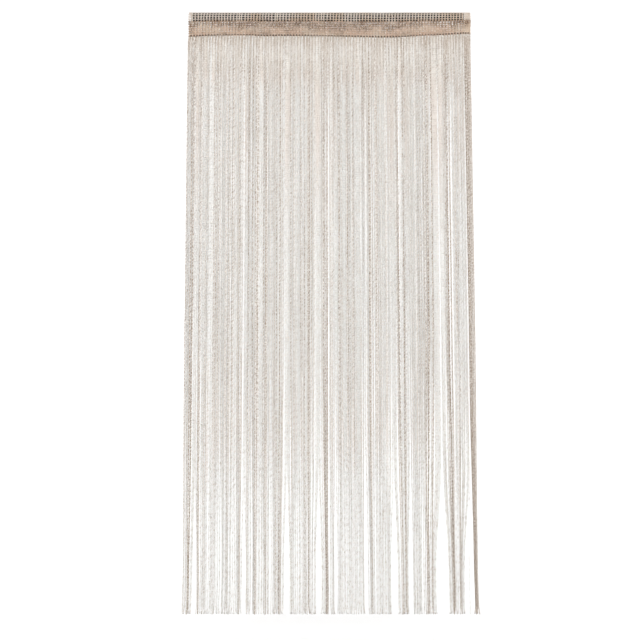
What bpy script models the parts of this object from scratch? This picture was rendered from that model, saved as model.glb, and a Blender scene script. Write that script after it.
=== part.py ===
"""Tinsel string curtain hanging from a plain rod.

A band of net is folded over the rod and stitched to itself, which makes the
rod's pocket. Below the seam the yarns run on as free strings of one length.

Units are metres. +Z is up, +X is to the viewer's right and the viewer looks
along +Y. The origin is on the rod's axis, at the middle of the curtain.
"""

import math
from typing import NamedTuple

import bmesh
import bpy
import numpy as np

# Sizes that every piece shares
DROP = 2.000                # from the fold over the rod down to the string ends
HEADING_WIDTH = 0.938       # the curtain's width at the rod and at the seam
FIT_GAP = 0.0003            # left between pieces that touch

# The rod, which ends inside the pocket
ROD_RADIUS = 0.014
ROD_LENGTH = 0.900
ROD_SHIFT = -0.004          # the rod's middle lies a little left of the curtain's
ROD_SIDES = 32

# The heading, a teardrop in section: round over the rod, flat down to the seam
CLOTH = 0.0015              # thickness of one layer of net
POCKET_ARC_STEPS = 12
POCKET_ARC_START = math.radians(75)     # angle from straight down where the flat side ends
POCKET_SIDE_STEPS = 4
SEAM_BAND = 0.0045          # height over which the two layers are stitched together
SEAM_SLIT = 0.00015         # half the gap between the layers just above the stitches
RIPPLE_DEPTH = 0.0012       # how far the layers swell in and out along the width
RIPPLE_LENGTH = 0.145

# The narrow strip under the seam that holds the strings' roots
STRIP_HEIGHT = 0.004
STRIP_HALF_DEPTH = 0.001

# The strings
STRING_COUNT = 294
STRINGS_PER_STATION = 7     # the heading has a station over every seventh string
STRING_WIDTH = 0.0016       # side of a string's three-sided section
LAYER_STEP = 0.0022         # the strings hang in three layers, this far apart in depth
BORDER_COUNT = 12           # strings of the close border at the right edge
BORDER_PITCH = 0.58         # their spacing, as a share of the spacing elsewhere
WANDER = 0.22               # how far a string strays by the hem, as a share of the spacing
LEVELS = (0.0, 0.12, 0.42, 0.72, 1.0)   # where a string may bend, as shares of its length
HEM_LEFT = -0.4855          # the outline spreads a little on the way down
HEM_RIGHT = 0.5000


class SeamPoint(NamedTuple):
    """A crest or a dip of the seam line, `height` below the fold over the rod."""

    x: float
    height: float


class Parting(NamedTuple):
    """A gap that opens between the strings on the way down.

    `place` is its middle at the hem, `width` its width there, `top` the share
    of the strings' length where it starts, and `left_share` the part of it
    that the strings on its left make room for.
    """

    place: float
    width: float
    top: float
    left_share: float


SEAM_POINTS = (
    SeamPoint(x=-0.469, height=0.0790),
    SeamPoint(x=-0.389, height=0.0750),
    SeamPoint(x=-0.270, height=0.0744),
    SeamPoint(x=-0.222, height=0.0771),
    SeamPoint(x=-0.130, height=0.0758),
    SeamPoint(x=0.197, height=0.0812),
    SeamPoint(x=0.340, height=0.0744),
    SeamPoint(x=0.469, height=0.0688),
)

PARTINGS = (
    Parting(place=-0.452, width=0.015, top=0.70, left_share=0.5),
    Parting(place=-0.286, width=0.014, top=0.55, left_share=0.5),
    Parting(place=-0.143, width=0.019, top=0.15, left_share=0.5),
    Parting(place=-0.035, width=0.017, top=0.12, left_share=0.5),
    Parting(place=0.022, width=0.010, top=0.15, left_share=0.5),
    Parting(place=0.125, width=0.014, top=0.50, left_share=0.5),
    Parting(place=0.218, width=0.023, top=0.35, left_share=0.5),
    Parting(place=0.274, width=0.014, top=0.30, left_share=0.5),
    Parting(place=0.381, width=0.042, top=0.22, left_share=0.5),
    Parting(place=0.462, width=0.024, top=0.30, left_share=1.0),
)

FOLD_Z = ROD_RADIUS + FIT_GAP + CLOTH
HEM_Z = FOLD_Z - DROP


def clear_scene():
    """Remove whatever the scene holds."""
    for obj in list(bpy.data.objects):
        bpy.data.objects.remove(obj, do_unlink=True)


def make_material(name, color, roughness, metallic):
    """Return a plain material with one colour."""
    material = bpy.data.materials.new(name)
    material.use_nodes = True
    shader = material.node_tree.nodes["Principled BSDF"]
    shader.inputs["Base Color"].default_value = (*color, 1.0)
    shader.inputs["Roughness"].default_value = roughness
    shader.inputs["Metallic"].default_value = metallic
    return material


def add_piece(name, vertices, faces, material):
    """Make one named object from points and faces, with its faces pointing out."""
    mesh = bpy.data.meshes.new(name)
    mesh.from_pydata([tuple(point) for point in vertices], [], faces)
    work = bmesh.new()
    work.from_mesh(mesh)
    bmesh.ops.recalc_face_normals(work, faces=work.faces)
    work.to_mesh(mesh)
    work.free()
    mesh.materials.append(material)
    piece = bpy.data.objects.new(name, mesh)
    bpy.context.scene.collection.objects.link(piece)
    return piece


def ease(share):
    """Smooth step from 0 to 1, level at both ends."""
    share = np.clip(share, 0.0, 1.0)
    return share * share * (3.0 - 2.0 * share)


def seam_height(x):
    """Height of the heading at x, level at each crest and dip and smooth between them."""
    places = np.array([point.x for point in SEAM_POINTS])
    heights = np.array([point.height for point in SEAM_POINTS])
    right = np.clip(np.searchsorted(places, x), 1, len(places) - 1)
    left = right - 1
    share = (x - places[left]) / (places[right] - places[left])
    return heights[left] + (heights[right] - heights[left]) * ease(share)


def string_shares():
    """Place of each string's cell edge along the width, from 0 at the left to 1."""
    widths = np.ones(STRING_COUNT)
    widths[-BORDER_COUNT:] = BORDER_PITCH
    return np.concatenate(([0.0], np.cumsum(widths))) / widths.sum()


def root_edges():
    """x of the edges between the strings' cells in the strip under the seam."""
    return HEADING_WIDTH * (string_shares() - 0.5)


def seam_line(edges):
    """Lower edge of the heading over each cell edge, straight between its stations."""
    stations = edges[::STRINGS_PER_STATION]
    return np.interp(edges, stations, FOLD_Z - seam_height(stations))


def build_rod():
    """The plain round rod, with flat ends."""
    angles = np.linspace(0.0, 2.0 * math.pi, ROD_SIDES, endpoint=False)
    vertices = []
    for end in (-0.5, 0.5):
        x = ROD_SHIFT + end * ROD_LENGTH
        vertices += [(x, ROD_RADIUS * math.sin(a), ROD_RADIUS * math.cos(a)) for a in angles]
    faces = [tuple(range(ROD_SIDES)), tuple(range(ROD_SIDES, 2 * ROD_SIDES))]
    for side in range(ROD_SIDES):
        following = (side + 1) % ROD_SIDES
        faces.append((side, following, ROD_SIDES + following, ROD_SIDES + side))
    rod = add_piece("rod", vertices, faces, make_material("rod", (0.05, 0.04, 0.035), 0.45, 0.6))
    rod.data.shade_smooth()
    rod.data.set_sharp_from_angle(angle=math.radians(40))


def pocket_section(seam_z, ripple, outside):
    """Outline (y, z) of the folded band, from the front of the seam round to its back.

    The arc's radius is worked out so that its flats, not its corners, clear the rod.
    """
    step = 2.0 * (math.pi - POCKET_ARC_START) / POCKET_ARC_STEPS
    radius = (ROD_RADIUS + FIT_GAP) / math.cos(step / 2.0)
    foot = (SEAM_SLIT, seam_z + SEAM_BAND)
    if outside:
        radius += CLOTH
        foot = (CLOTH, seam_z)
    angles = POCKET_ARC_START + step * np.arange(POCKET_ARC_STEPS + 1)
    arc = np.column_stack((-radius * np.sin(angles), -radius * np.cos(angles)))
    shares = np.arange(POCKET_SIDE_STEPS) / POCKET_SIDE_STEPS
    swell = ripple * np.sin(math.pi * shares)
    front = np.column_stack((
        -foot[0] + (arc[0, 0] + foot[0]) * shares - swell,
        foot[1] + (arc[0, 1] - foot[1]) * shares,
    ))
    back = np.column_stack((
        foot[0] + (arc[-1, 0] - foot[0]) * shares - swell,
        foot[1] + (arc[-1, 1] - foot[1]) * shares,
    ))
    return np.concatenate((front, arc, back[::-1]))


def build_heading():
    """The folded band of net: a hollow tube with a wall, open at both ends."""
    edges = root_edges()
    stations = edges[::STRINGS_PER_STATION]
    seam = seam_line(edges)[::STRINGS_PER_STATION]
    ripples = RIPPLE_DEPTH * np.sin(2.0 * math.pi * stations / RIPPLE_LENGTH)
    vertices = []
    for x, seam_z, ripple in zip(stations, seam, ripples):
        for outside in (True, False):
            section = pocket_section(seam_z, ripple, outside)
            vertices += [(x, y, z) for y, z in section]
    around = len(vertices) // (2 * len(stations))
    faces = []
    for point in range(around):
        following = (point + 1) % around
        for station in range(len(stations) - 1):
            for wall in (0, around):
                this = 2 * around * station + wall
                after = this + 2 * around
                faces.append((this + point, this + following, after + following, after + point))
        for end in (0, 2 * around * (len(stations) - 1)):
            outer = (end + point, end + following)
            faces.append((*outer, end + around + following, end + around + point))
    add_piece("heading", vertices, faces, make_material("heading", (0.55, 0.45, 0.37), 0.6, 0.2))


def string_places(level):
    """x of every string at one level, a share of the way from its root to its tip.

    Each string hangs at its own share of the outline's width. It strays a
    little, more towards the hem, and each parting pushes it aside by an
    amount that dies away with its distance from the parting.
    """
    cells = string_shares()
    shares = (cells[:-1] + cells[1:]) / 2.0
    left = -HEADING_WIDTH / 2.0 + level * (HEM_LEFT + HEADING_WIDTH / 2.0)
    right = HEADING_WIDTH / 2.0 + level * (HEM_RIGHT - HEADING_WIDTH / 2.0)
    free = np.arange(STRING_COUNT) < STRING_COUNT - BORDER_COUNT
    pitch = (right - left) / STRING_COUNT
    stray = np.random.default_rng(5).uniform(-WANDER, WANDER, STRING_COUNT)
    places = left + shares * (right - left) + np.where(free, stray * pitch * level, 0.0)
    moved = places.copy()
    for parting in PARTINGS:
        share = (parting.place - HEM_LEFT) / (HEM_RIGHT - HEM_LEFT)
        middle = left + share * (right - left) + parting.width * (parting.left_share - 0.5)
        width = parting.width * ease((level - parting.top) / (1.0 - parting.top))
        away = places - middle
        for side, part in ((-1.0, parting.left_share), (1.0, 1.0 - parting.left_share)):
            push = width * part
            if push > 0.0:
                reach = 2.0 * parting.width * part
                near = free & (np.sign(away) == side)
                moved += np.where(near, side * push * np.exp(-np.abs(away) / reach), 0.0)
    return moved


def build_strings():
    """All strings in one piece, with their roots in the strip under the seam."""
    edges = root_edges()
    top = seam_line(edges) - FIT_GAP
    bottom = top - STRIP_HEIGHT
    vertices = []
    for x, high, low in zip(edges, top, bottom):
        for y in (-STRIP_HALF_DEPTH, STRIP_HALF_DEPTH):
            vertices += [(x, y, low), (x, y, high)]
    faces = [(0, 1, 3, 2)]
    last = 4 * STRING_COUNT
    faces.append((last, last + 1, last + 3, last + 2))

    layers = LAYER_STEP * (np.arange(STRING_COUNT) % 3 - 1)
    roots = (bottom[:-1] + bottom[1:]) / 2.0
    places = [string_places(level) for level in LEVELS]
    section_depth = STRING_WIDTH * math.sqrt(3.0) / 2.0
    section = (
        (-STRING_WIDTH / 2.0, -section_depth / 3.0),
        (STRING_WIDTH / 2.0, -section_depth / 3.0),
        (0.0, 2.0 * section_depth / 3.0),
    )
    for string in range(STRING_COUNT):
        cell = 4 * string
        low_front, high_front, low_back, high_back = range(cell, cell + 4)
        faces.append((high_front, high_front + 4, high_back + 4, high_back))
        faces.append((low_front, low_front + 4, high_front + 4, high_front))
        faces.append((low_back, low_back + 4, high_back + 4, high_back))

        first = len(vertices)
        for number, level in enumerate(LEVELS):
            z = roots[string] + level * (HEM_Z - roots[string])
            y = layers[string] * min(1.0, level / LEVELS[1])
            x = places[number][string]
            vertices += [(x + dx, y + dy, z) for dx, dy in section]
        left, right, back = first, first + 1, first + 2
        faces.append((low_front, low_front + 4, right, left))
        faces.append((low_front + 4, low_back + 4, back, right))
        faces.append((low_back + 4, low_back, back))
        faces.append((low_back, low_front, left, back))
        for number in range(len(LEVELS) - 1):
            ring = first + 3 * number
            for side in range(3):
                following = (side + 1) % 3
                faces.append((ring + side, ring + following, ring + 3 + following, ring + 3 + side))
        tip = first + 3 * (len(LEVELS) - 1)
        faces.append((tip, tip + 1, tip + 2))
    add_piece("strings", vertices, faces, make_material("strings", (0.72, 0.67, 0.61), 0.5, 0.2))


clear_scene()
build_rod()
build_heading()
build_strings()
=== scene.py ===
"""Looks of the tinsel string curtain.

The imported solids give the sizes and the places. This script knits the net of
the heading and hangs the strings from single yarns in their stead, stitches
the seam, paints the rod, and sets the camera, the floor and a soft light.
Units are metres, +Z is up and the camera looks along +Y.
"""

import logging
import math
from dataclasses import dataclass, field
from enum import Enum
from typing import ClassVar

import bpy
import numpy as np
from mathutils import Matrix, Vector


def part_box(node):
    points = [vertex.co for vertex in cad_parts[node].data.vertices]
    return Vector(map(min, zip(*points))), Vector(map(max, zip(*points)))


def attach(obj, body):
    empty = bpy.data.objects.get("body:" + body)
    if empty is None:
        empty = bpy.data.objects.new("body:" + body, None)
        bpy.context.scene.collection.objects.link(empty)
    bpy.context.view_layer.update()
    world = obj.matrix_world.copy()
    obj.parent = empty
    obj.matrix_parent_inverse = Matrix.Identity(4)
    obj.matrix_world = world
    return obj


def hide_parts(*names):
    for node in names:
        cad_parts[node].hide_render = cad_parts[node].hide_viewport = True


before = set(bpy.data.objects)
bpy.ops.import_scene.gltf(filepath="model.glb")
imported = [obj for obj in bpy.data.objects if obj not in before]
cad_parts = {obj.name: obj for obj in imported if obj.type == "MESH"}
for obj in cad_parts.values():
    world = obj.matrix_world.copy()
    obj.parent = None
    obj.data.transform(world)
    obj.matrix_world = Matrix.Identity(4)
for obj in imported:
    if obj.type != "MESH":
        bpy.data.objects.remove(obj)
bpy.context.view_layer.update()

NET_HALF = 0.00115
LOG = logging.getLogger("string_curtain")
Array = np.ndarray
Colour = tuple


class Side(Enum):
    """The face of the heading that a row of stitches lies on."""

    FRONT = -1.0
    BACK = 1.0


def ease(share: Array) -> Array:
    """Smooth step: three times the square less twice the cube, from 0 to 1."""
    share = np.clip(share, 0.0, 1.0)
    return share * share * (3.0 - 2.0 * share)


def rise(level: Array, span: tuple) -> Array:
    """Smooth step of the level, which starts at the first number and lasts the second."""
    start, length = span
    return ease((level - start) / length)


def bell(away: Array, reach: float) -> Array:
    """Bell curve: the exponential of minus the square of the distance over the reach."""
    return np.exp(-((away / reach) ** 2))


def unit(vectors: Array) -> Array:
    """Each vector divided by its length."""
    return vectors / np.maximum(np.linalg.norm(vectors, axis=-1, keepdims=True), 1e-12)


def slow_noise(rng: np.random.Generator, rows: int, steps: int, knots: int) -> Array:
    """Smooth random curves, one a row.

    Args:
        rng: The source of the random numbers.
        rows: Number of curves.
        steps: Number of samples in each.
        knots: Number of random values that each curve eases between.

    Returns:
        An array of rows by steps, between -1 and 1.
    """
    values = rng.uniform(-1.0, 1.0, (rows, knots + 1))
    place = np.linspace(0.0, knots, steps)
    knot = np.minimum(place.astype(int), knots - 1)
    share = ease(place - knot)
    return values[:, knot] * (1.0 - share) + values[:, knot + 1] * share


@dataclass(frozen=True)
class Lock:
    """A group of strings that hang close together.

    top, mid and hem are its x at the levels, which are a quarter of the way
    down, 0.6 of it and just above the hem. grip is how tightly it gathers its
    strings, brown how much of the dark yarn shows in its core, and early how
    far it holds high up. It closes in three steps. A pair of their numbers is
    that of an ordinary lock and what is added to it for an early one, and a
    span is where a step starts and how long it lasts.
    """

    top: float
    mid: float
    hem: float
    grip: float
    brown: float
    early: float = 0.0
    levels: ClassVar[tuple] = (0.25, 0.60, 0.95)
    high_share: ClassVar[tuple] = (0.05, 0.36)
    high_by: ClassVar[tuple] = (0.3, -0.22)
    middle_share: ClassVar[tuple] = (0.08, 0.10)
    middle_span: ClassVar[tuple] = (0.3, 0.4)
    low_share: ClassVar[float] = 0.42
    low_spared: ClassVar[float] = 0.7
    low_span: ClassVar[tuple] = (0.70, 0.20)

    def with_early(self, pair: tuple) -> float:
        """The first number, plus the second as far as the lock is early."""
        return pair[0] + pair[1] * self.early

    def line(self, level: Array) -> Array:
        """x of its middle at each level, straight between the three places."""
        return np.interp(level, self.levels, (self.top, self.mid, self.hem))

    def closing(self, level: Array) -> Array:
        """How far it has drawn its strings in on the way down.

        It is the sum of three smooth steps: one near the top, higher up and
        larger for an early lock, one across the middle, and one above the
        hem that is the smaller for it.

        Args:
            level: Share of the length at each step.

        Returns:
            A share for each level.
        """
        high = self.with_early(self.high_share) * ease(level / self.with_early(self.high_by))
        middle = self.with_early(self.middle_share) * rise(level, self.middle_span)
        low = (1.0 - self.low_spared * self.early) * self.low_share * rise(level, self.low_span)
        return high + middle + low


@dataclass(frozen=True)
class Outline:
    """The curtain's two edges: x of each at every step on the way down."""

    left: Array
    right: Array


@dataclass(frozen=True)
class Parting:
    """A gap that opens between the strings on the way down.

    place and width are its middle and its width at the hem, top is the share
    of the strings' length where it starts, and left_share the part of it that
    the strings on its left make room for.
    """

    place: float
    width: float
    top: float
    left_share: float = 0.5

    def line(self, outline: Outline) -> Array:
        """x of its middle, at the same share of the outline's width as at the hem.

        Args:
            outline: The curtain's two edges.

        Returns:
            x at every step.
        """
        width = outline.right - outline.left
        share = (self.place - outline.left[-1]) / width[-1]
        return outline.left + share * width


@dataclass(frozen=True)
class Patches:
    """Smooth random patches over a surface: values on a grid that ease into each other."""

    values: Array
    corner: tuple
    cell: tuple

    @staticmethod
    def scatter(rng: np.random.Generator, low: tuple, high: tuple, cell: tuple) -> "Patches":
        """Draw the values for a surface.

        Args:
            rng: The source of the random numbers.
            low: The surface's lowest two coordinates.
            high: Its highest two coordinates.
            cell: Size of one patch in each direction.

        Returns:
            The patches.
        """
        counts = [int((top - base) / size) + 3 for base, top, size in zip(low, high, cell)]
        return Patches(rng.uniform(-1.0, 1.0, counts), low, cell)

    def at(self, across: Array, along: Array) -> Array:
        """Value at each place, from the four grid values round it.

        Args:
            across: First coordinate of the places.
            along: Second coordinate, of the same shape.

        Returns:
            Values between -1 and 1, in an array of that shape.
        """
        places = []
        for place, base, size, count in zip(
            (across, along), self.corner, self.cell, self.values.shape
        ):
            scaled = np.clip((place - base) / size, 0.0, count - 1.001)
            knot = scaled.astype(int)
            places.append((knot, ease(scaled - knot)))
        (i, s), (j, t) = places
        near = self.values[i, j] * (1.0 - t) + self.values[i, j + 1] * t
        far = self.values[i + 1, j] * (1.0 - t) + self.values[i + 1, j + 1] * t
        return near * (1.0 - s) + far * s


@dataclass(frozen=True)
class YarnBatch:
    """Meshes of many yarns as plain arrays, ready to be joined into one piece."""

    points: Array
    quads: Array
    uv: Array
    tone: Array
    brown: Array

    @staticmethod
    def join(batches: "list[YarnBatch]") -> "YarnBatch":
        """Put batches together, with the numbers in the faces moved along.

        Args:
            batches: The batches.

        Returns:
            One batch that holds them all.
        """
        starts = np.cumsum([0] + [len(batch.points) for batch in batches[:-1]])
        return YarnBatch(
            points=np.concatenate([batch.points for batch in batches]),
            quads=np.concatenate([b.quads + start for b, start in zip(batches, starts)]),
            uv=np.concatenate([batch.uv for batch in batches]),
            tone=np.concatenate([batch.tone for batch in batches]),
            brown=np.concatenate([batch.brown for batch in batches]),
        )

    def piece(self, name: str, material: bpy.types.Material) -> bpy.types.Object:
        """Make the piece: a mesh with its UV map, its two attributes and its finish.

        Args:
            name: The object's name.
            material: The finish.

        Returns:
            The object, at the origin and riding on the root body.
        """
        mesh = bpy.data.meshes.new(name)
        mesh.vertices.add(len(self.points))
        mesh.vertices.foreach_set("co", self.points.astype(np.float32).ravel())
        mesh.loops.add(self.quads.size)
        mesh.loops.foreach_set("vertex_index", self.quads.astype(np.int32).ravel())
        mesh.polygons.add(len(self.quads))
        mesh.polygons.foreach_set("loop_start", np.arange(0, self.quads.size, 4, dtype=np.int32))
        layer = mesh.uv_layers.new(name="Yarn")
        layer.uv.foreach_set("vector", self.uv.astype(np.float32).ravel())
        for label, values in (("tone", self.tone), ("brown", self.brown)):
            attribute = mesh.attributes.new(label, "FLOAT", "POINT")
            attribute.data.foreach_set("value", values.astype(np.float32))
        mesh.materials.append(material)
        mesh.update(calc_edges=True)
        mesh.validate()
        piece = bpy.data.objects.new(name, mesh)
        bpy.context.scene.collection.objects.link(piece)
        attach(piece, "root")
        LOG.info("%s: %d triangles", name, 2 * len(self.quads))
        return piece


@dataclass(frozen=True)
class Yarn:
    """Section of a yarn: a flattened square, turned about its path as it goes."""

    half_width: float
    half_depth: float
    lay: float

    def sweep(
        self, paths: Array, facing: Array, tone: Array, brown: Array, girth: Array, phase: Array
    ) -> YarnBatch:
        """Carry the section along many paths at once.

        At each point the path's direction crossed with the facing direction
        gives the section's width, and that crossed with the direction gives
        its depth. The corners lie on these two axes, which turn once in every
        lay of length, starting at the phase. The UV map's U is the yarn's
        number and the share of the way round, and its V the length so far.

        Args:
            paths: Points, as yarns by steps by 3.
            facing: The direction that the depth lies along, broadcast to paths.
            tone: Shade of the yarn, from 0 to 1, as yarns by steps.
            brown: Share of dark yarn and of painted shade, as yarns by steps.
            girth: Factor on the section's size, as yarns by steps.
            phase: Turn of each yarn's section at its start, in radians.

        Returns:
            The batch of closed tubes with four sides.
        """
        yarns, steps = paths.shape[:2]
        direction = unit(np.gradient(paths, axis=1))
        across = unit(np.cross(direction, np.broadcast_to(facing, paths.shape)))
        deep = np.cross(across, direction)
        spans = np.linalg.norm(np.diff(paths, axis=1), axis=2)
        along = np.concatenate([np.zeros((yarns, 1)), np.cumsum(spans, axis=1)], axis=1)
        turn = (phase[:, None] + 2.0 * math.pi * along / self.lay)[..., None]
        first = (across * np.cos(turn) + deep * np.sin(turn)) * girth[..., None]
        second = (deep * np.cos(turn) - across * np.sin(turn)) * girth[..., None]
        wide, thin = first * self.half_width, second * self.half_depth
        rings = np.stack([paths + wide, paths + thin, paths - wide, paths - thin], axis=2)

        corner = np.arange(yarns * steps * 4).reshape(yarns, steps, 4)
        following = np.roll(corner, -1, axis=2)
        sides = np.stack(
            [corner[:, :-1], corner[:, 1:], following[:, 1:], following[:, :-1]], axis=3
        ).reshape(-1, 4)
        ends = np.concatenate([corner[:, 0], corner[:, -1, ::-1]])

        number = np.arange(yarns)[:, None, None]
        around = np.broadcast_to(number + np.arange(5) / 4.0, (yarns, steps, 5))
        length = np.broadcast_to(along[..., None], (yarns, steps, 5))
        grid = np.stack([around, length], axis=3)
        side_uv = np.stack(
            [grid[:, :-1, :-1], grid[:, 1:, :-1], grid[:, 1:, 1:], grid[:, :-1, 1:]], axis=3
        ).reshape(-1, 2)
        end_uv = np.concatenate([grid[:, 0, :4], grid[:, -1, 3::-1]]).reshape(-1, 2)
        return YarnBatch(
            points=rings.reshape(-1, 3),
            quads=np.concatenate([sides, ends]),
            uv=np.concatenate([side_uv, end_uv]),
            tone=np.repeat(tone.reshape(-1), 4),
            brown=np.repeat(brown.reshape(-1), 4),
        )


class Nodes:
    """Short calls that add and join the nodes of one material.

    A value that goes into a node may be a number, a colour or a socket.
    """

    def __init__(self, name: str) -> None:
        """Start a material that has a Principled shader and nothing else.

        Args:
            name: The material's name.
        """
        self.material = bpy.data.materials.new(name)
        self.material.use_nodes = True
        self.tree = self.material.node_tree
        self.shader = self.tree.nodes["Principled BSDF"]

    def add(self, kind: str, **settings: object) -> bpy.types.Node:
        """Add a node.

        Args:
            kind: The node's type.
            settings: Its own properties.

        Returns:
            The node.
        """
        node = self.tree.nodes.new(kind)
        for name, value in settings.items():
            setattr(node, name, value)
        return node

    def join(self, source: object, target: object) -> None:
        """Link a socket to another one, or set that one to a value.

        Args:
            source: The socket or the value.
            target: The socket that takes it.
        """
        if isinstance(source, bpy.types.NodeSocket):
            self.tree.links.new(source, target)
        else:
            target.default_value = source

    def math(self, operation: str, first: object, second: object = 0.0) -> bpy.types.NodeSocket:
        """Work out a number from two.

        Args:
            operation: What the Math node does with them.
            first: The first value.
            second: The second value.

        Returns:
            The result's socket.
        """
        node = self.add("ShaderNodeMath", operation=operation)
        self.join(first, node.inputs[0])
        self.join(second, node.inputs[1])
        return node.outputs[0]

    def vector(self, x: object, y: object, z: object = 0.0) -> bpy.types.NodeSocket:
        """Make a vector of three values.

        Args:
            x: The first value.
            y: The second value.
            z: The third value.

        Returns:
            The vector's socket.
        """
        node = self.add("ShaderNodeCombineXYZ")
        for value, socket in zip((x, y, z), node.inputs):
            self.join(value, socket)
        return node.outputs[0]

    def noise(self, place: object, scale: float, detail: float = 2.0) -> bpy.types.NodeSocket:
        """Read a noise texture.

        Args:
            place: Where it is read.
            scale: How fine it is.
            detail: How many finer layers it adds.

        Returns:
            The socket of its value, from 0 to 1.
        """
        node = self.add("ShaderNodeTexNoise")
        self.join(place, node.inputs["Vector"])
        node.inputs["Scale"].default_value = scale
        node.inputs["Detail"].default_value = detail
        return node.outputs["Fac"]

    def spread(
        self, value: object, low: float, high: float, to: tuple = (0.0, 1.0)
    ) -> bpy.types.NodeSocket:
        """Map a range onto another one, and hold the value there.

        Args:
            value: The value.
            low: Start of its range.
            high: End of its range.
            to: Start and end of the new range.

        Returns:
            The result's socket.
        """
        node = self.add("ShaderNodeMapRange")
        self.join(value, node.inputs["Value"])
        for label, number in zip(("From Min", "From Max", "To Min", "To Max"), (low, high, *to)):
            node.inputs[label].default_value = number
        return node.outputs["Result"]

    def blend(self, share: object, first: object, second: object) -> bpy.types.NodeSocket:
        """Mix two colours.

        Args:
            share: How much of the second one, from 0 to 1.
            first: The first colour.
            second: The second colour.

        Returns:
            The mixed colour's socket.
        """
        node = self.add("ShaderNodeMix", data_type="RGBA")
        self.join(share, node.inputs[0])
        self.join(first, node.inputs[6])
        self.join(second, node.inputs[7])
        return node.outputs[2]

    def ramp(
        self, value: object, stops: "tuple[tuple[float, Colour], ...]"
    ) -> bpy.types.NodeSocket:
        """Pick a colour from a ramp.

        Args:
            value: The place on the ramp, from 0 to 1.
            stops: The ramp's places and colours, in order.

        Returns:
            The colour's socket.
        """
        node = self.add("ShaderNodeValToRGB")
        while len(node.color_ramp.elements) < len(stops):
            node.color_ramp.elements.new(1.0)
        for element, (place, colour) in zip(node.color_ramp.elements, stops):
            element.position = place
            element.color = (*colour, 1.0)
        self.join(value, node.inputs[0])
        return node.outputs[0]

    def bump(self, height: object, strength: float, depth: float) -> None:
        """Raise the shader's normal.

        Args:
            height: The height's socket.
            strength: How strongly it shows.
            depth: The height of 1, in metres.
        """
        node = self.add("ShaderNodeBump")
        node.inputs["Strength"].default_value = strength
        node.inputs["Distance"].default_value = depth
        self.join(height, node.inputs["Height"])
        self.join(node.outputs[0], self.shader.inputs["Normal"])


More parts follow.
